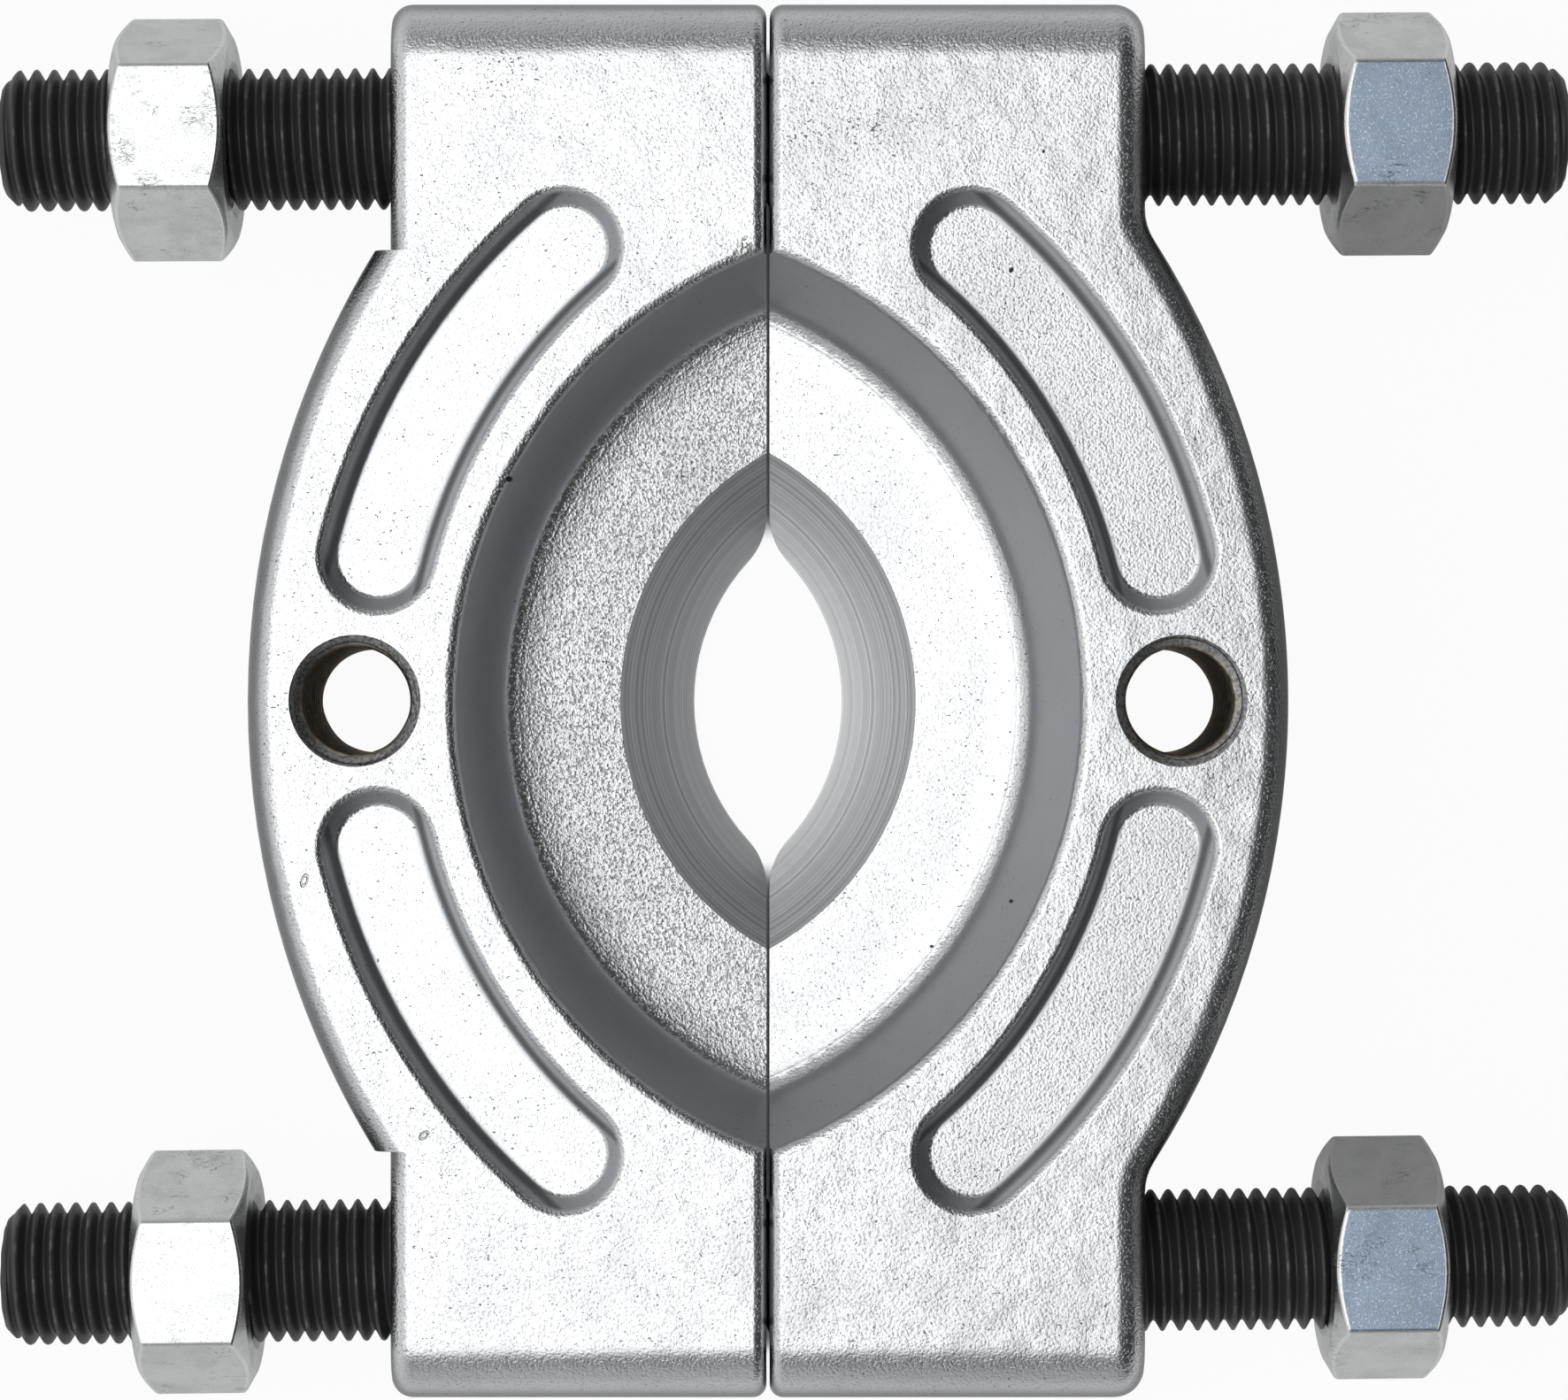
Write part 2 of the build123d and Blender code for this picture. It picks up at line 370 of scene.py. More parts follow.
class NutSettings(bpy.types.PropertyGroup):
    """The hexagon nuts."""

    face_radius: FloatProperty(
        name="Face radius", description="Radius of the flat ring on each face", unit="LENGTH",
        min=0.009, max=0.012, default=0.0113)
    chamfer: FloatProperty(
        name="Chamfer", description="Slope of the corner chamfer", subtype="ANGLE", unit="ROTATION",
        min=0.1, max=1.2, default=math.radians(30))
    countersink: FloatProperty(
        name="Countersink", description="Depth of the countersink at each mouth", unit="LENGTH",
        min=0, max=0.002, default=0.00075)
    edge_round: FloatProperty(
        name="Edge round", description="How far the edges of the flats are rounded over", unit="LENGTH",
        min=0, max=0.001, default=0.00026)
    colour: FloatVectorProperty(
        name="Zinc", description="Colour of the zinc plating", subtype="COLOR",
        size=3, min=0, max=1, default=(0.90, 0.915, 0.905))
    stain_colour: FloatVectorProperty(
        name="Stains", description="Colour of scratches and stains", subtype="COLOR",
        size=3, min=0, max=1, default=(0.14, 0.15, 0.14))
    # Painted reflection: a bluish tint on the upper flats of the right nuts
    right_tint: FloatVectorProperty(
        name="Right tint", description="Tint of the upper flats of the right nuts",
        size=3, min=0, max=1, default=(0.46, 0.56, 0.71))


class StageSettings(bpy.types.PropertyGroup):
    """Floor, light and camera."""

    camera_height: FloatProperty(
        name="Camera height", description="Height of the camera above the floor", unit="LENGTH",
        min=0.1, max=5, default=0.5085)
    focal_length: FloatProperty(
        name="Focal length", description="Focal length on a 36 mm wide sensor", unit="CAMERA",
        min=10, max=500, default=100.26)
    shift: FloatVectorProperty(
        name="Shift", description="How far the picture's middle lies from the lens axis, in picture widths",
        size=2, min=-0.1, max=0.1, default=(0.0102, 0.0023))
    panel_light: FloatProperty(
        name="Panel light", description="Brightness of the soft panel overhead", min=0, max=10, default=1.5)
    room_light: FloatProperty(
        name="Room light", description="Brightness of the room round the panel", min=0, max=10, default=0.19)
    left_light: FloatProperty(
        name="Left light", description="How fast the room brightens to the left and darkens to the right",
        min=0, max=4, default=2.0)
    end_light: FloatProperty(
        name="End light", description="How much brighter the room is low down beyond the jaws' ends",
        min=0, max=1, default=0.2)
    sky: FloatVectorProperty(
        name="Light colour", description="Colour of all the light", subtype="COLOR",
        size=3, min=0, max=1, default=(0.985, 0.992, 1.0))
    white_seen: FloatProperty(
        name="White floor", description="How far the floor looks plain white to the camera",
        subtype="FACTOR", min=0, max=1, default=0.95)
    white_mirrored: FloatProperty(
        name="White mirrored", description="How far the floor looks plain white in the metal",
        subtype="FACTOR", min=0, max=1, default=0.2)
    # Painted shadow: how black the floor beyond the right jaw looks in reflections
    dark_mirrored: FloatProperty(
        name="Dark mirrored", description="How dark the card beyond the right jaw looks in the metal",
        subtype="FACTOR", min=0, max=1, default=0.95)
    floor: FloatVectorProperty(
        name="Floor", description="Colour of the floor", subtype="COLOR",
        size=3, min=0, max=1, default=(0.9, 0.9, 0.9))


def stud_line(row):
    """The middle of a stud and the direction that it lies in, which is a little askew."""
    low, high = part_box(f"stud_{row}")
    return (low + high) / 2, -Vector(joints[f"stud_{row}_slide"]["axis"])


def along_stud(row, turn=0.0):
    """Turns a piece that is made about Z to lie along a stud, turned about it."""
    _, direction = stud_line(row)
    askew = Euler((0, 0, math.atan2(direction.y, direction.x))).to_matrix()
    return askew @ Euler((turn, 0, 0)).to_matrix() @ Euler((0, math.pi / 2, 0)).to_matrix()


def plain_mesh(piece, name):
    """Turns what a piece's modifiers give into its own plain mesh."""
    bpy.context.view_layer.update()
    evaluated = piece.evaluated_get(bpy.context.evaluated_depsgraph_get())
    mesh = bpy.data.meshes.new_from_object(evaluated)
    mesh.name = name
    piece.modifiers.clear()
    piece.data = mesh
    return piece


def new_piece(name, mesh=None):
    piece = bpy.data.objects.new(name, mesh or bpy.data.meshes.new(name))
    bpy.context.scene.collection.objects.link(piece)
    return piece


def made_by_nodes(name, tree, values):
    """A piece whose mesh a node tree makes from named inputs."""
    piece = new_piece(name)
    modifier = piece.modifiers.new(tree.name, "NODES")
    modifier.node_group = tree
    sockets = {s.name: s.identifier for s in tree.interface.items_tree if s.in_out == "INPUT"}
    for key, value in values.items():
        modifier[sockets[key]] = value
    return plain_mesh(piece, name)


def wrapped_sheet(nodes, rows, columns):
    """A sheet of rows and columns, with each point's row and its turn round the axis in whole turns."""
    sheet = nodes.add("GeometryNodeMeshGrid", {
        "Size X": 1.0, "Size Y": 1.0,
        "Vertices X": nodes.total(rows, 1.0), "Vertices Y": nodes.total(columns, 1.0)})
    x, y, _ = nodes.parts(nodes.add("GeometryNodeInputPosition").outputs[0])
    row = nodes.math("ROUND", nodes.product(nodes.total(x, 0.5), rows))
    return sheet.outputs["Mesh"], row, nodes.total(y, 0.5)


def finished(nodes, mesh, position, inside, values):
    """Places the sheet's points, closes its seam, moves it to its place and ends the tree."""
    mesh = nodes.add("GeometryNodeSetPosition", {"Geometry": mesh, "Position": position}).outputs[0]
    mesh = nodes.add("GeometryNodeMergeByDistance", {"Geometry": mesh, "Distance": 0.000002}).outputs[0]
    mesh = nodes.add("GeometryNodeFlipFaces", {"Mesh": mesh, "Selection": inside}).outputs[0]
    mesh = nodes.add("GeometryNodeSetShadeSmooth", {"Geometry": mesh}).outputs[0]
    placing = {"Geometry": mesh, "Translation": values["Place"], "Rotation": values["Turn"]}
    mesh = nodes.add("GeometryNodeTransform", placing).outputs[0]
    mesh = nodes.add("GeometryNodeRealizeInstances", {"Geometry": mesh}).outputs[0]
    mesh = nodes.add("GeometryNodeSetMaterial", {"Geometry": mesh, "Material": values["Material"]}).outputs[0]
    nodes.set(nodes.add("NodeGroupOutput").inputs[0], mesh)


def new_tree(name, inputs):
    """An empty geometry tree with named inputs, and those inputs' outputs inside it."""
    tree = bpy.data.node_groups.new(name, "GeometryNodeTree")
    tree.interface.new_socket("Mesh", in_out="OUTPUT", socket_type="NodeSocketGeometry")
    for key, kind in inputs.items():
        tree.interface.new_socket(key, in_out="INPUT", socket_type="NodeSocket" + kind)
    nodes = Nodes(tree)
    group = nodes.add("NodeGroupInput")
    return nodes, {key: group.outputs[key] for key in inputs}


def thread_tree():
    """A screw thread about Z, as a rod with chamfered ends or as a hole with countersunk mouths.

    The sheet's rows run along the helix, so that crests and roots are clean lines. Past each end the rows lie
    in the end's plane: a rod's close its flat end, and a hole's lie on its rim and merge.
    """
    nodes, inputs = new_tree("screw_thread", {
        "Length": "Float", "Pitch": "Float", "Crest Radius": "Float", "Root Radius": "Float",
        "End Radius": "Float", "Rows": "Int", "Columns": "Int", "Start": "Float", "Inside": "Bool",
        "Place": "Vector", "Turn": "Rotation", "Material": "Material"})
    pitch, crest, root = inputs["Pitch"], inputs["Crest Radius"], inputs["Root Radius"]
    half = nodes.ratio(inputs["Length"], 2.0)
    pitches = nodes.math("CEIL", nodes.total(nodes.ratio(inputs["Length"], pitch), 4.0))
    rows = nodes.product(pitches, inputs["Rows"])
    mesh, row, turn = wrapped_sheet(nodes, rows, inputs["Columns"])

    # The flank falls over 0.354 of a pitch and ends 0.43 of a pitch from the crest's middle
    pitch_number = nodes.minus(nodes.ratio(row, inputs["Rows"]), nodes.ratio(pitches, 2.0))
    along = nodes.product(nodes.total(pitch_number, turn, nodes.minus(inputs["Start"], 0.5)), pitch)
    from_crest = nodes.math("PINGPONG", pitch_number, 0.5)
    flank = nodes.ratio(nodes.minus(0.43, from_crest), 0.354)
    rise = nodes.math("SMOOTH_MIN", 1.0, flank, 0.25)
    rise = nodes.math("SMOOTH_MAX", rise, 0.0, 0.3)
    thread = nodes.total(root, nodes.product(nodes.minus(crest, root), rise))

    to_end = nodes.minus(half, nodes.math("ABSOLUTE", along))
    inward = nodes.larger(to_end, 0.0)
    rod = nodes.smaller(thread, nodes.total(inputs["End Radius"], inward))
    overshoot = nodes.ratio(nodes.larger(nodes.product(to_end, -1.0), 0.0), pitch)
    closing = nodes.larger(nodes.minus(1.0, overshoot), 0.0)
    rod = nodes.product(rod, closing)
    hole = nodes.larger(thread, nodes.minus(inputs["End Radius"], inward))
    choice = {"Switch": inputs["Inside"], "False": rod, "True": hole}
    radius = nodes.add("GeometryNodeSwitch", choice, input_type="FLOAT").outputs[0]

    angle = nodes.product(turn, math.tau)
    flat = nodes.smaller(nodes.larger(along, nodes.product(half, -1.0)), half)
    position = nodes.vector(nodes.product(radius, nodes.math("COSINE", angle)),
                            nodes.product(radius, nodes.math("SINE", angle)), flat)
    finished(nodes, mesh, position, inputs["Inside"], inputs)
    return nodes.tree


def nut_tree():
    """A hexagon nut about Z: each row of the sheet is one line of its section, from the bore out and back."""
    nodes, inputs = new_tree("hexagon_nut", {
        "Across Flats": "Float", "Height": "Float", "Bore Radius": "Float", "Face Radius": "Float",
        "Chamfer": "Float", "Countersink": "Float", "Edge Round": "Float", "Columns": "Int",
        "Place": "Vector", "Turn": "Rotation", "Material": "Material"})
    half = nodes.ratio(inputs["Height"], 2.0)
    edge, face, bore = inputs["Edge Round"], inputs["Face Radius"], inputs["Bore Radius"]
    slope = nodes.math("TANGENT", inputs["Chamfer"])
    mesh, row, turn = wrapped_sheet(nodes, 2.0 * NUT_STATIONS, inputs["Columns"])

    angle = nodes.product(turn, math.tau)
    from_flat = nodes.math("WRAP", angle, math.pi / 6, -math.pi / 6)
    apothem = nodes.ratio(inputs["Across Flats"], 2.0)
    sharp = nodes.ratio(apothem, math.cos(math.pi / 6))
    corner = nodes.minus(sharp, nodes.product(edge, 0.4))
    outer = nodes.smaller(nodes.ratio(apothem, nodes.math("COSINE", from_flat)), corner)

    def on_cone(radius):
        return nodes.minus(half, nodes.product(nodes.minus(radius, face), slope))

    mouth = nodes.total(bore, inputs["Countersink"])
    before_face = nodes.minus(face, edge)
    after_face = nodes.total(face, edge)
    before_flat = nodes.minus(outer, edge)
    rim = on_cone(outer)
    rounded = nodes.minus(outer, nodes.product(edge, 0.3))
    section = [
        (bore, 0.0),
        (bore, nodes.minus(half, inputs["Countersink"])),
        (mouth, half),
        (before_face, half),
        (after_face, on_cone(after_face)),
        (before_flat, on_cone(before_flat)),
        (rounded, nodes.minus(rim, nodes.product(edge, 0.15))),
        (outer, nodes.minus(rim, edge)),
        (outer, nodes.minus(rim, nodes.product(edge, 2.0))),
        (outer, nodes.product(rim, 0.5)),
        (outer, 0.0),
    ]
    across = nodes.add("GeometryNodeIndexSwitch", data_type="FLOAT")
    along = nodes.add("GeometryNodeIndexSwitch", data_type="FLOAT")
    station = nodes.math("PINGPONG", row, float(NUT_STATIONS))
    for switch, part in ((across, 0), (along, 1)):
        while len(switch.index_switch_items) < len(section):
            switch.index_switch_items.new()
        nodes.set(switch.inputs["Index"], station)
        for number, line in enumerate(section):
            nodes.set(switch.inputs[str(number)], line[part])
    upper = nodes.minus(nodes.product(nodes.math("LESS_THAN", row, NUT_STATIONS + 0.5), 2.0), 1.0)
    position = nodes.vector(nodes.product(across.outputs[0], nodes.math("COSINE", angle)),
                            nodes.product(across.outputs[0], nodes.math("SINE", angle)),
                            nodes.product(along.outputs[0], upper))
    # Rims and side corners, marked for the finish: partly wear, partly a painted highlight
    at_rim = nodes.math("COMPARE", station, 6.5, 0.6)
    at_corner = nodes.math("GREATER_THAN", nodes.math("ABSOLUTE", from_flat), math.radians(29.5))
    on_side = nodes.math("GREATER_THAN", station, 6.5)
    wear_and_highlight = nodes.larger(at_rim, nodes.product(at_corner, on_side))
    mesh = nodes.add("GeometryNodeStoreNamedAttribute", {"Geometry": mesh, "Name": "wear_and_highlight", "Value": wear_and_highlight},
                     data_type="FLOAT", domain="POINT").outputs[0]
    finished(nodes, mesh, position, True, inputs)
    return nodes.tree


def skin_zones(skin, side):
    """The parts of a jaw's skin that differ in grain and colour, each 1 inside and 0 outside."""
    sign = SIDES[side]
    upward = skin.facing[2]
    zones = SimpleNamespace()
    zones.from_recess = skin.from_axis(-sign * RECESS_CENTRE_OFFSET)
    pocket_radius = PULLER_HOLE_X - POCKET_LINE_INSET + POCKET_CENTRE_OFFSET
    zones.off_line = skin.apart(skin.from_axis(-sign * POCKET_CENTRE_OFFSET), pocket_radius)
    floor_z = THICKNESS - POCKET_DEPTH

    zones.over_plate = skin.step(skin.z, PLATE_THICKNESS - 0.001, PLATE_THICKNESS - 0.0002)
    in_root = skin.step(zones.from_recess, RECESS_ROOT_RADIUS - 0.0002, RECESS_ROOT_RADIUS - 0.002)
    zones.plate = skin.product(zones.over_plate, in_root)
    steep = skin.step(upward, 0.80, 0.55)
    wall = skin.product(
        skin.step(zones.from_recess, RECESS_ROOT_RADIUS - 0.0028, RECESS_ROOT_RADIUS - 0.0010),
        skin.step(zones.from_recess, RECESS_TOP_RADIUS + 0.0010, RECESS_TOP_RADIUS - 0.0004), steep)
    zones.on_floor = skin.product(
        skin.step(zones.off_line, POCKET_HALF_WIDTH, POCKET_HALF_WIDTH - 0.0008),
        skin.step(skin.z, floor_z + 0.0003, floor_z + 0.0001))
    zones.pocket_wall = skin.product(
        skin.step(zones.off_line, POCKET_HALF_WIDTH + 0.0035, POCKET_HALF_WIDTH + 0.0025),
        skin.step(skin.z, THICKNESS - 0.0003, THICKNESS - 0.0008), skin.minus(1.0, zones.on_floor))
    zones.top = skin.step(skin.z, THICKNESS - 0.0012, THICKNESS - 0.0002)
    zones.rounding = skin.product(skin.step(upward, 0.995, 0.95), skin.step(upward, 0.3, 0.65))
    zones.smooth = skin.larger(wall, zones.pocket_wall)
    # The steep outside, which the finish darkens as painted shade
    flanks = skin.product(skin.step(upward, 0.75, 0.35), skin.minus(1.0, zones.smooth))
    bow_edge = skin.product(
        skin.step(zones.off_line, BOW_EDGE_FROM_LINE, BOW_EDGE_FROM_LINE + 0.001),
        skin.step(zones.from_recess, BOW_EDGE_FROM_RECESS, BOW_EDGE_FROM_RECESS + 0.002),
        skin.step(skin.math("ABSOLUTE", skin.y), BOW_HALF_LENGTH, BOW_HALF_LENGTH - 0.006))
    zones.outside = skin.larger(flanks, skin.product(bow_edge, skin.step(upward, 0.98, 0.7)))
    return zones


def skin_marks(skin, side, clouds):
    """Specks, stains and flaws of a jaw's skin, each 1 inside and 0 outside."""
    pitted = skin.total(skin.product(skin.spots(PITTED[side], 1.4, 0.2), 0.08), skin.product(clouds, 0.03))
    specks = skin.total(skin.grains(0.00034, stretch=(0.9, 1.1, 1.0), detail=1.0), pitted)
    specks = skin.step(specks, 0.735, 0.785)
    blots = skin.step(skin.grains(0.0006, detail=3.0, roughness=0.7), 0.50, 0.62)
    stained = skin.product(skin.spots(STAINS[side]), blots)
    flaws = skin.spots(FLAWS[side])
    for dent in DENTS[side]:
        rim = skin.apart(skin.reach(*dent), 1.0)
        flaws = skin.larger(flaws, skin.product(skin.step(rim, 0.45, 0.1), 0.3))
    return specks, stained, flaws


def plate_tilt(skin, zones, look):
    """How far the plate rises above a level one, in heights of the grain: outwards, and up to its root."""
    inward = skin.smaller(skin.larger(zones.from_recess, CONE_RADIUS - 0.008), RECESS_ROOT_RADIUS - 0.0015)
    tilt = skin.product(inward, math.tan(PLATE_TILT) / look.grain_height)
    to_root = skin.larger(skin.minus(inward, RECESS_ROOT_RADIUS - 0.0055), 0.0)
    tilt = skin.total(tilt, skin.product(to_root, to_root, look.root_rise / look.grain_height))
    return skin.product(tilt, zones.over_plate)


def forged_skin(side, look):
    """Bright plating over a forged skin, grained where the dies were flat and smooth on the walls."""
    skin = Finish(f"forged_skin_{side}", Metallic=1.0)
    zones = skin_zones(skin, side)
    top_grain, plate_grain, pocket_grain = getattr(look, f"{side}_grain")
    strength = skin.total(
        skin.product(zones.plate, plate_grain), skin.product(zones.top, top_grain),
        skin.product(zones.on_floor, pocket_grain), skin.product(zones.rounding, look.edge_grain))
    strength = skin.larger(strength, LEAST_GRAIN)
    strength = skin.product(strength, skin.minus(1.0, skin.product(zones.smooth, 0.85)))

    grains = skin.grains(0.64 * look.grain_size, detail=1.8, roughness=0.5)
    pits = skin.step(grains, 0.44, 0.30)
    grains = skin.total(grains, skin.product(pits, -0.25), -0.5)
    swell = skin.grains(SWELL_SIZE, detail=2.0)
    clouds = skin.step(skin.grains(CLOUD_SIZE, detail=3.0, roughness=0.6), 0.35, 0.7)
    specks, stained, flaws = skin_marks(skin, side, clouds)
    height = skin.total(
        skin.product(grains, strength), skin.product(swell, look.swell, zones.top),
        plate_tilt(skin, zones, look), skin.product(specks, -0.5), skin.product(flaws, -1.2),
        skin.product(stained, -0.5))
    skin.relief(height, look.grain_height)

    plating, dirt_and_shade = tuple(look.colour), tuple(look.flaw_colour)
    rough_parts = skin.math("MULTIPLY_ADD", clouds, 0.1, skin.product(pits, strength, 0.25))
    colour = skin.mixed(rough_parts, plating, tuple(look.worn_colour))
    # The walls' colour: partly their smoother plating, partly painted shade
    colour = skin.mixed(zones.smooth, colour, tuple(look.wall_colour))
    # A painted shade line runs along the root of each pocket's wall, and a painted highlight line above it
    from_root = skin.minus(zones.off_line, POCKET_HALF_WIDTH)
    painted_root_shade = skin.step(skin.apart(from_root, 0.0003), 0.0006, 0.0001)
    rubbed = skin.step(skin.apart(from_root, 0.0011), 0.0004, 0.0001)
    colour = skin.mixed(skin.product(zones.pocket_wall, painted_root_shade, 0.6), colour, dirt_and_shade)
    colour = skin.mixed(skin.product(zones.pocket_wall, rubbed, 0.6), colour, plating)
    # Painted shade: a darker copy of the plating on the outside flanks and bow edges
    colour = skin.mixed(zones.outside, colour, tuple(part * look.side_shade for part in look.colour))
    colour = skin.mixed(skin.product(specks, 0.8), colour, dirt_and_shade)
    colour = skin.mixed(skin.product(stained, 0.6), colour, tuple(look.stain_colour))
    colour = skin.mixed(flaws, colour, dirt_and_shade)
    skin.coat(colour, skin.total(skin.product(clouds, 0.05), skin.product(zones.smooth, 0.2), 0.24))
    return skin.material


def turned_cone(side, look):
    """Steel with the fine rings of a lathe tool about the cone's own axis, darker on the left jaw as painted
    shade and paler by the knife as a painted highlight.
    """
    cone = Finish(f"turned_cone_{side}", Metallic=1.0)
    ring = cone.from_axis(-SIDES[side] * KNIFE_CENTRE_OFFSET)
    around = cone.vector(ring, 0.0, 0.0)
    rings = cone.noise(around, 1 / 0.0003, detail=3.0, roughness=0.75)
    bands = cone.step(cone.noise(around, 1 / 0.0018, detail=2.0), 0.38, 0.62)
    streaks = cone.step(cone.noise(around, 1 / 0.00045, detail=1.0), 0.64, 0.72)
    number = list(SIDES).index(side)
    # Painted shade: each side's cone takes its own brightness
    shades = [share * look.cone_shade[number] for share in (0.88, 0.5, 1.0)]
    plain, dark, pale = (tuple(shade * part for part in look.cone_colour) for shade in shades)
    # Painted highlight: a paler band next to the knife edge
    inner = cone.step(ring, KNIFE_RADIUS + 0.0035, KNIFE_RADIUS)
    colour = cone.mixed(cone.larger(bands, inner), plain, pale)
    colour = cone.mixed(cone.product(cone.step(rings, 0.62, 0.38), 0.75), colour, dark)
    colour = cone.mixed(cone.product(cone.step(rings, 0.56, 0.66), 0.7), colour, pale)
    colour = cone.mixed(cone.product(streaks, 0.7), colour, dark)
    cone.coat(colour, cone.math("MULTIPLY_ADD", bands, 0.06, 0.42))
    to_knife = cone.larger(cone.minus(KNIFE_RADIUS + 0.014, ring), 0.0)
    wear_and_highlight = cone.product(to_knife, to_knife, look.knife_wear[number] / RING_HEIGHT)
    cone.relief(cone.total(rings, cone.product(streaks, -1.0), wear_and_highlight), RING_HEIGHT)
    return cone.material


def bare_bore(look):
    """Unplated steel: a grained countersink, a rubbed edge at the thread's start that is partly a painted
    highlight, and a dull brown bore.
    """
    bore = Finish("bare_bore", Metallic=1.0, Roughness=0.4)
    off = bore.smaller(bore.from_axis(PULLER_HOLE_X), bore.from_axis(-PULLER_HOLE_X))
    depth = bore.minus(THICKNESS, bore.z)
    patches = bore.grains(0.0016, detail=3.0)
    dark = tuple(0.6 * part for part in look.bore_colour)
    colour = bore.mixed(bore.step(patches, 0.3, 0.7), tuple(look.bore_colour), dark)
    # The rubbed ring at the thread's start is coloured near white: partly wear, partly a painted highlight
    start = bore.apart(depth, MOUTH_DEPTH + 0.0001)
    rubbed = bore.product(bore.step(start, 0.0004, 0.0001), bore.step(patches, 0.75, 0.35))
    colour = bore.mixed(rubbed, colour, RUBBED_BORE_AND_HIGHLIGHT)
    mouth = bore.step(off, PULLER_HOLE_RADIUS + 0.0002, PULLER_HOLE_RADIUS + 0.0005)
    specks = bore.step(bore.grains(0.0004, detail=2.0), 0.4, 0.65)
    grey = bore.mixed(specks, *MOUTH_GREYS)
    bore.coat(bore.mixed(mouth, colour, grey))
    bore.relief(bore.grains(look.grain_size, detail=2.0), 0.00008)
    return bore.material


def black_oxide(row, look):
    """Black oxide with the crests of the thread rubbed bare here and there, their pale colour partly a
    painted highlight.
    """
    middle, direction = stud_line(row)
    black = Finish(f"black_oxide_{row}", Metallic=0.3, Roughness=0.4)
    offset = black.vector_math("SUBTRACT", black.place, middle)[0]
    radius = black.vector_math("LENGTH", black.vector_math("CROSS_PRODUCT", offset, direction)[0])["Value"]
    crests = black.step(radius, STUD_RADIUS - 0.00012, STUD_RADIUS - 0.00002)
    rubbed = black.step(black.grains(0.0022, detail=3.0, roughness=0.65), 0.48, 0.7)
    dust = black.step(black.grains(0.0007, detail=2.0), 0.6, 0.75)
    colour = black.mixed(black.product(dust, 0.3), tuple(look.black), DUST)
    rubbed = black.product(crests, black.math("MULTIPLY_ADD", rubbed, 0.55, 0.04))
    black.coat(black.mixed(rubbed, colour, tuple(look.rubbed)))
    black.relief(black.grains(0.0004, detail=2.0), 0.00003)
    return black.material


def zinc(name, look, top_reflection_tint=(1.0, 1.0, 1.0)):
    """Pale zinc plating with a fine sparkle, painted white glints, rims worn and painted bright as a
    highlight, upper flats tinted as a painted reflection, and dark scratches.
    """
    plating = Finish(name, Metallic=1.0)
    clouds = plating.step(plating.grains(0.005, detail=4.0, roughness=0.65), 0.35, 0.7)
    sparkle = plating.grains(0.00022, detail=2.0, roughness=0.7)
    sparkle = plating.total(plating.product(sparkle, 0.4), plating.step(sparkle, 0.6, 0.75))
    scratches = plating.apart(plating.grains(
        0.0035, stretch=(0.6, 1.6, 1.2), detail=4.0, roughness=0.75, distortion=1.2), 0.5)
    where = plating.step(plating.grains(0.0045, detail=2.0), 0.52, 0.66)
    scratches = plating.product(plating.step(scratches, 0.012, 0.003), where)
    # Painted reflection: the upward flats take the tinted colour
    painted_reflection_colour = tuple(part * shade for part, shade in zip(look.colour, top_reflection_tint))
    shade = plating.mixed(plating.step(plating.facing[2], 0.90, 0.98), tuple(look.colour), painted_reflection_colour)
    shade = plating.mixed(plating.product(clouds, 0.15), shade, (0, 0, 0))
    # Painted highlight: white glints and the worn rims are coloured white
    glints = plating.step(plating.grains(0.0002, detail=1.0), 0.60, 0.68)
    wear_and_highlight = plating.add("ShaderNodeAttribute", attribute_name="wear_and_highlight").outputs["Fac"]
    patchy = plating.product(plating.grains(0.0006, detail=2.0), 0.6)
    wear_and_highlight = plating.step(plating.total(wear_and_highlight, patchy), 0.75, 1.0)
    bright = plating.larger(plating.product(glints, 0.55), wear_and_highlight)
    shade = plating.mixed(bright, shade, (1.0, 1.0, 1.0))
    shade = plating.mixed(plating.product(scratches, 0.75), shade, tuple(look.stain_colour))
    plating.coat(shade, plating.math("MULTIPLY_ADD", clouds, 0.08, 0.22))
    plating.relief(plating.total(sparkle, plating.product(scratches, -1.0)), 0.000012)
    return plating.material


def is_turned(centre, normal, side):
    """True for a face of the cone, of the knife's land or of its ground corners."""
    sign = SIDES[side]
    ring = math.hypot(centre.x + sign * KNIFE_CENTRE_OFFSET, centre.y)
    at_split = abs(normal.x) > 0.99 and abs(centre.x) < SPLIT_X + 0.00005
    return centre.z < PLATE_THICKNESS and ring < CONE_RADIUS + 0.001 and abs(normal.z) < 0.95 and not at_split


def in_puller_hole(face, side):
    """True for a face of the puller's hole or of its countersinks."""
    axis = Vector((SIDES[side] * PULLER_HOLE_X, 0))
    limit = PULLER_MOUTH_RADIUS + 0.00002
    return all((vertex.co.xy - axis).length < limit for vertex in face.verts)


def joined(faces, pairs):
    """The sets of faces that pairs of neighbours join, as a dictionary from each face to its set."""
    sets = {face: {face} for face in faces}
    for first, second in pairs:
        if sets[first] is not sets[second]:
            small, large = sorted((sets[first], sets[second]), key=len)
            large |= small
            sets.update(dict.fromkeys(small, large))
    return sets


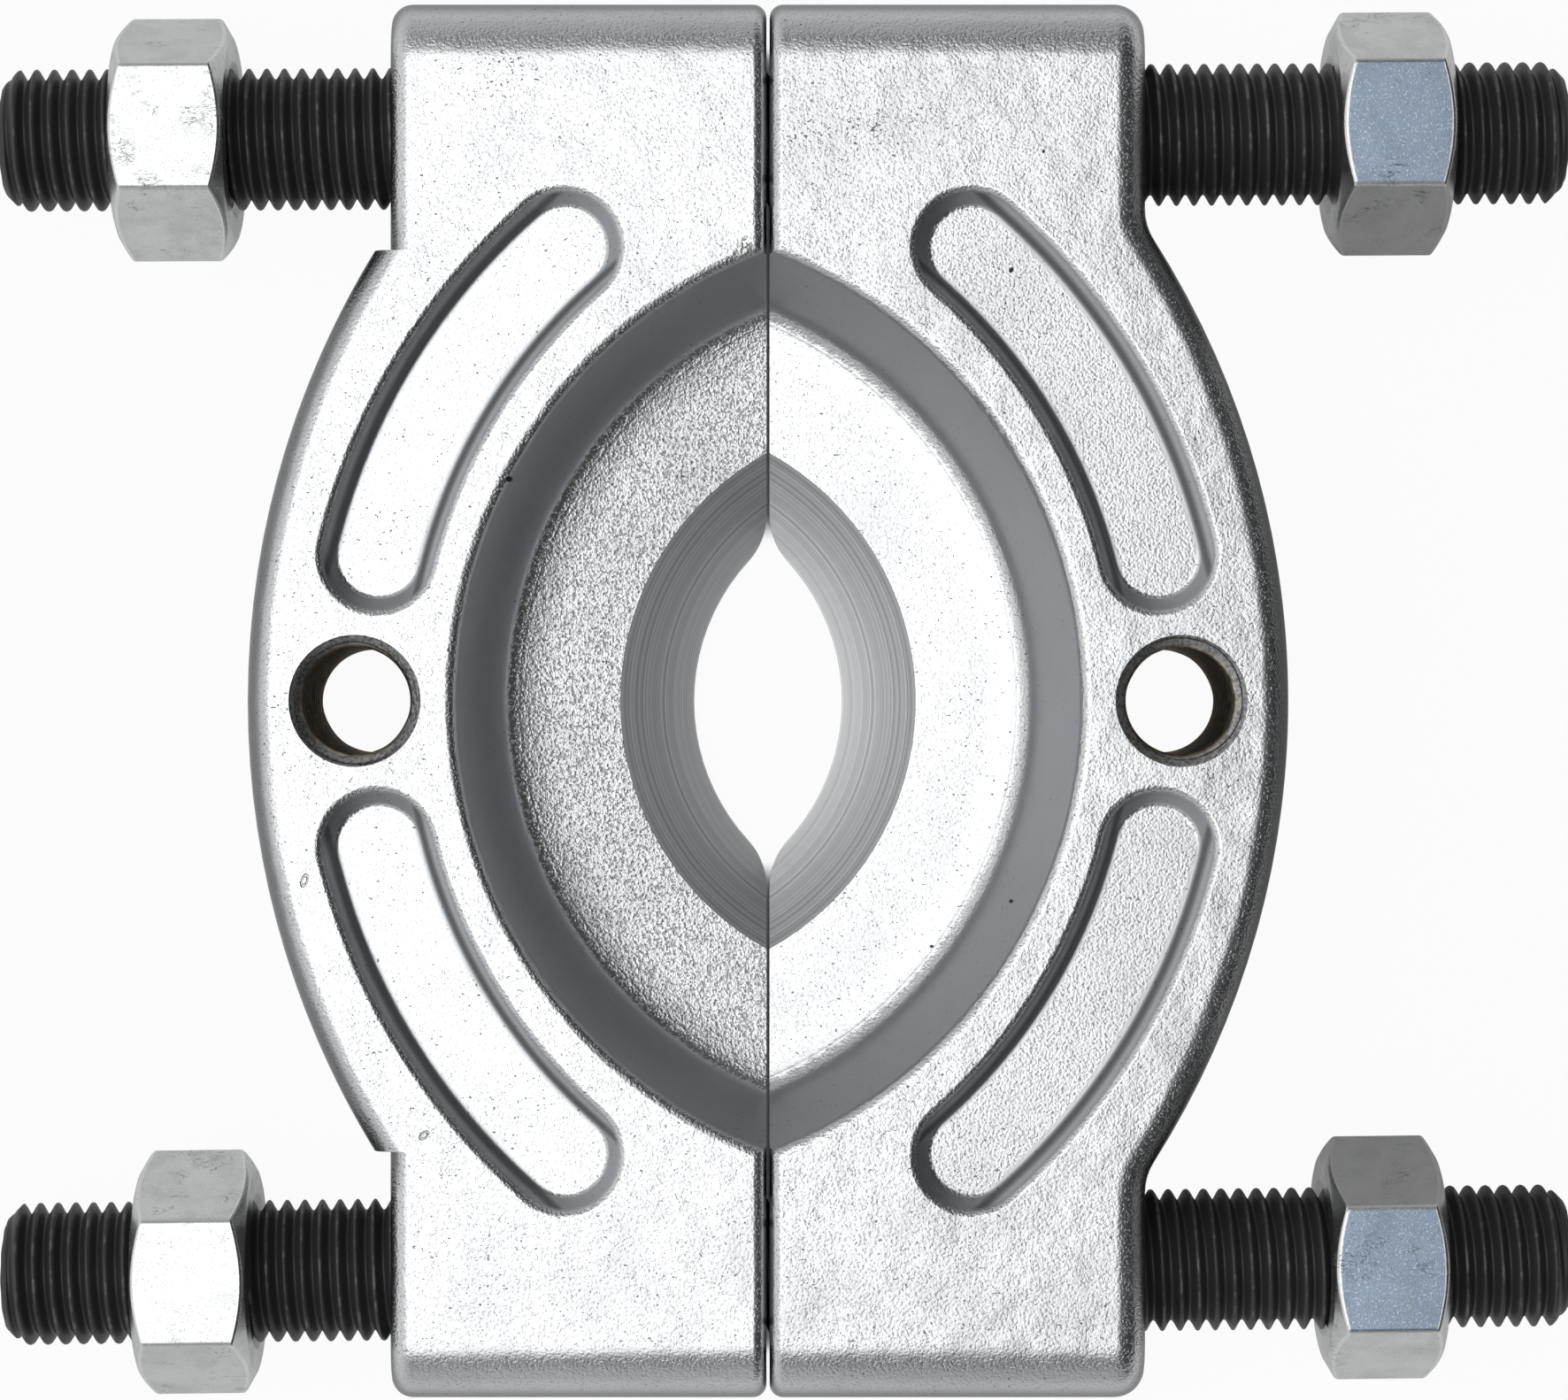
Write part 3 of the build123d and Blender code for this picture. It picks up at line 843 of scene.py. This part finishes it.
def shade_evenly(mesh, limit):
    """Turns each corner's normal to the mean of the faces it meets smoothly, with wide flats first."""
    corners = defaultdict(dict)
    sides = defaultdict(list)
    for face in mesh.polygons:
        face.use_smooth = True
        for loop in face.loop_indices:
            corners[mesh.loops[loop].vertex_index][face.index] = loop
        for key in face.edge_keys:
            sides[key].append(face.index)
    angles = {}
    for key, pair in sides.items():
        if len(pair) == 2:
            first, second = (mesh.polygons[face].normal for face in pair)
            angles[key] = first.angle(second, math.pi)
    level = math.radians(0.2)
    flats = joined(range(len(mesh.polygons)), (sides[key] for key, angle in angles.items() if angle < level))
    sizes = {id(flat): sum(mesh.polygons[face].area for face in flat) for flat in flats.values()}
    smooth = defaultdict(list)
    for key, angle in angles.items():
        for vertex in key if angle < limit else ():
            smooth[vertex].append(sides[key])
    normals = [None] * len(mesh.loops)
    for vertex, met in corners.items():
        groups = joined(met, smooth[vertex])
        for face, group in groups.items():
            mean = sum((mesh.polygons[other].normal * sizes[id(flats[other])] for other in group), Vector())
            normals[met[face]] = mean.normalized()
    mesh.normals_split_custom_set(normals)


def forged_copy(side, materials):
    """The jaw's solid as one smooth surface, without its puller hole, with its finishes face by face."""
    copy = bmesh.new()
    copy.from_mesh(frame["nodes"][f"jaw_{side}"].data)
    bmesh.ops.remove_doubles(copy, verts=copy.verts, dist=0.000001)
    holes = [face for face in copy.faces if in_puller_hole(face, side)]
    bmesh.ops.delete(copy, geom=holes, context="FACES")
    for face in copy.faces:
        face.material_index = int(is_turned(face.calc_center_median(), face.normal, side))
    mesh = bpy.data.meshes.new(f"forging_{side}")
    copy.to_mesh(mesh)
    copy.free()
    for material in materials:
        mesh.materials.append(material)
    shade_evenly(mesh, FORGING_CREASE)
    return mesh


class SEPARATOR_OT_jaws(bpy.types.Operator):
    """Make both jaws' forged and turned surfaces"""

    bl_idname = "separator.jaws"
    bl_label = "Jaws"

    def execute(self, context):
        look = context.scene.separator_plating
        for side in SIDES:
            mesh = forged_copy(side, [forged_skin(side, look), turned_cone(side, look)])
            jaw = new_piece(f"forging_{side}", mesh)
            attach(jaw, f"jaw_{side}")
            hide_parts(f"jaw_{side}")
        return {"FINISHED"}


class SEPARATOR_OT_puller_holes(bpy.types.Operator):
    """Cut the tapped hole for a puller's screw into each rim"""

    bl_idname = "separator.puller_holes"
    bl_label = "Puller holes"

    def execute(self, context):
        threads = context.scene.separator_threads
        material = bare_bore(context.scene.separator_plating)
        for side, sign in SIDES.items():
            hole = made_by_nodes(f"puller_hole_{side}", bpy.data.node_groups["screw_thread"], {
                "Length": THICKNESS, "Pitch": threads.pitch, "Crest Radius": PULLER_HOLE_RADIUS,
                "Root Radius": PULLER_HOLE_RADIUS + 0.54 * threads.pitch, "End Radius": PULLER_MOUTH_RADIUS,
                "Rows": threads.rows, "Columns": HOLE_COLUMNS, "Start": 0.25 * sign, "Inside": True,
                "Place": (sign * PULLER_HOLE_X, 0, THICKNESS / 2), "Turn": Euler((0, 0, 0)),
                "Material": material})
            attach(hole, f"jaw_{side}")
        return {"FINISHED"}


class SEPARATOR_OT_studs(bpy.types.Operator):
    """Cut the thread of both studs"""

    bl_idname = "separator.studs"
    bl_label = "Studs"

    def execute(self, context):
        threads = context.scene.separator_threads
        for row in ROWS:
            middle, _ = stud_line(row)
            stud = made_by_nodes(f"threaded_stud_{row}", bpy.data.node_groups["screw_thread"], {
                "Length": STUD_LENGTH, "Pitch": threads.pitch, "Crest Radius": STUD_RADIUS,
                "Root Radius": STUD_RADIUS - threads.depth, "End Radius": STUD_RADIUS - threads.end_chamfer,
                "Rows": threads.rows, "Columns": threads.columns, "Start": 0.0, "Inside": False,
                "Place": middle, "Turn": along_stud(row).to_euler(), "Material": black_oxide(row, threads)})
            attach(stud, f"stud_{row}")
            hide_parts(f"stud_{row}")
        return {"FINISHED"}


def turn_of_flats(node, row):
    """How far a nut has turned about its stud from having a flat level on top."""
    _, direction = stud_line(row)
    level = Vector((-direction.y, direction.x, 0))
    flats = [face for face in frame["nodes"][node].data.polygons
             if abs(face.normal.dot(direction)) < 0.01 and face.area > 1e-6]
    upper = max(flats, key=lambda face: face.normal.z)
    return math.atan2(-upper.normal.dot(level), upper.normal.z)


class SEPARATOR_OT_nuts(bpy.types.Operator):
    """Make the four hexagon nuts"""

    bl_idname = "separator.nuts"
    bl_label = "Nuts"

    def execute(self, context):
        look = context.scene.separator_nuts
        finishes = {"left": zinc("zinc_left", look), "right": zinc("zinc_right", look, look.right_tint)}
        for row in ROWS:
            for side in SIDES:
                node = f"nut_{row}_{side}"
                low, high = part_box(node)
                turn = along_stud(row, turn_of_flats(node, row))
                nut = made_by_nodes(f"hexagon_{row}_{side}", bpy.data.node_groups["hexagon_nut"], {
                    "Across Flats": NUT_ACROSS_FLATS, "Height": NUT_HEIGHT,
                    "Bore Radius": STUD_RADIUS + NUT_CLEARANCE, "Face Radius": look.face_radius,
                    "Chamfer": look.chamfer, "Countersink": look.countersink, "Edge Round": look.edge_round,
                    "Columns": NUT_COLUMNS, "Place": (low + high) / 2, "Turn": turn.to_euler(),
                    "Material": finishes[side]})
                shade_evenly(nut.data, NUT_CREASE)
                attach(nut, node)
                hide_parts(node)
        return {"FINISHED"}


def studio(look):
    """A soft panel overhead in a room that darkens to the right: light by direction alone."""
    world = bpy.data.worlds.new("studio")
    world.use_nodes = True
    nodes = Nodes(world.node_tree)
    x, y, z = nodes.parts(nodes.add("ShaderNodeTexCoord").outputs["Generated"])
    across = nodes.math("ARCTAN2", x, z)
    along = nodes.math("ARCTAN2", nodes.math("ABSOLUTE", y), z)
    fades = [
        nodes.step(angle, *map(math.radians, edge))
        for angle, edge in ((across, PANEL_RIGHT), (across, PANEL_LEFT), (along, PANEL_ENDS))
    ]
    panel = nodes.product(look.panel_light, *fades)
    lean = nodes.math("POWER", nodes.minus(1.0, x), look.left_light)
    ends = nodes.step(nodes.math("ABSOLUTE", y), *END_LIGHT_RISE)
    room = nodes.total(nodes.larger(nodes.product(lean, look.room_light), DARKEST_ROOM),
                       nodes.product(ends, look.end_light))
    nodes.set(world.node_tree.nodes["Background"].inputs["Strength"], nodes.larger(panel, room))
    world.node_tree.nodes["Background"].inputs["Color"].default_value = (*look.sky, 1)
    return world


def pale_floor(look):
    """A pale floor, white to the camera but for its shadows and narrow gaps, darker in the metal, and black
    in the metal beyond the right jaw as a painted shadow.
    """
    floor = Finish("pale_floor", Roughness=0.9, Base_Color=(*look.floor, 1.0))
    seen = floor.add("ShaderNodeLightPath").outputs
    mirrored = floor.larger(seen["Is Glossy Ray"], seen["Is Transmission Ray"])
    share = floor.larger(floor.product(seen["Is Camera Ray"], look.white_seen),
                       floor.product(mirrored, look.white_mirrored))
    openness = floor.add("ShaderNodeAmbientOcclusion", {"Distance": GAP_WIDTH}, samples=16).outputs["AO"]
    white = floor.add("ShaderNodeEmission", {"Strength": 1.0})
    mix = floor.add("ShaderNodeMixShader", {0: floor.product(share, floor.step(openness, *GAP_OPENNESS))})
    # Painted shadow: a black patch beyond the right jaw that only reflections see
    beyond = floor.product(floor.step(floor.x, *MIRRORED_SHADOW_X),
                           floor.step(floor.math("ABSOLUTE", floor.y), *MIRRORED_SHADOW_Y))
    painted_shadow = floor.add("ShaderNodeMixShader", {0: floor.product(mirrored, beyond, look.dark_mirrored)})
    black = floor.add("ShaderNodeEmission", {"Strength": 0.0})
    floor.set(painted_shadow.inputs[1], floor.shader.outputs[0])
    floor.set(painted_shadow.inputs[2], black.outputs[0])
    floor.set(mix.inputs[1], painted_shadow.outputs[0])
    floor.set(mix.inputs[2], white.outputs[0])
    floor.set(floor.tree.nodes["Material Output"].inputs["Surface"], mix.outputs[0])
    return floor.material


class SEPARATOR_OT_stage(bpy.types.Operator):
    """Set up the floor, the light and the camera"""

    bl_idname = "separator.stage"
    bl_label = "Stage"

    def execute(self, context):
        stage = context.scene.separator_stage
        mesh = bpy.data.meshes.new("floor")
        corners = [(x * FLOOR_REACH, y * FLOOR_REACH, 0) for x, y in ((-1, -1), (1, -1), (1, 1), (-1, 1))]
        mesh.from_pydata(corners, [], [(0, 1, 2, 3)])
        mesh.materials.append(pale_floor(stage))
        floor = new_piece("floor", mesh)

        context.scene.world = studio(stage)

        lens = bpy.data.cameras.new("camera")
        lens.lens = stage.focal_length
        lens.shift_x, lens.shift_y = stage.shift
        camera = bpy.data.objects.new("camera", lens)
        camera.location = (0, CAMERA_Y, stage.camera_height)
        context.scene.collection.objects.link(camera)
        context.scene.camera = camera
        context.scene.view_settings.view_transform = "Standard"
        return {"FINISHED"}


class SEPARATOR_PT_panel(bpy.types.Panel):
    """The bearing separator's pieces, in the order in which they are made"""

    bl_label = "Bearing Separator"
    bl_space_type = "VIEW_3D"
    bl_region_type = "UI"
    bl_category = "Separator"

    def draw(self, context):
        for operator in OPERATORS:
            self.layout.operator(operator.bl_idname)
        for name, group in GROUPS.items():
            box = self.layout.box()
            for key in group.__annotations__:
                box.prop(getattr(context.scene, name), key)


GROUPS = {
    "separator_plating": PlatingSettings,
    "separator_threads": ThreadSettings,
    "separator_nuts": NutSettings,
    "separator_stage": StageSettings,
}
OPERATORS = [
    SEPARATOR_OT_stage, SEPARATOR_OT_jaws, SEPARATOR_OT_puller_holes, SEPARATOR_OT_studs, SEPARATOR_OT_nuts]
CLASSES = [*GROUPS.values(), *OPERATORS, SEPARATOR_PT_panel]


def register():
    for cls in CLASSES:
        bpy.utils.register_class(cls)
    for name, group in GROUPS.items():
        setattr(bpy.types.Scene, name, PointerProperty(type=group))
    thread_tree()
    nut_tree()


def unregister():
    for name in GROUPS:
        delattr(bpy.types.Scene, name)
    for cls in reversed(CLASSES):
        bpy.utils.unregister_class(cls)


def main():
    register()
    for operator in OPERATORS:
        group, name = operator.bl_idname.split(".")
        getattr(getattr(bpy.ops, group), name)()


if __name__ == "__main__":
    main()
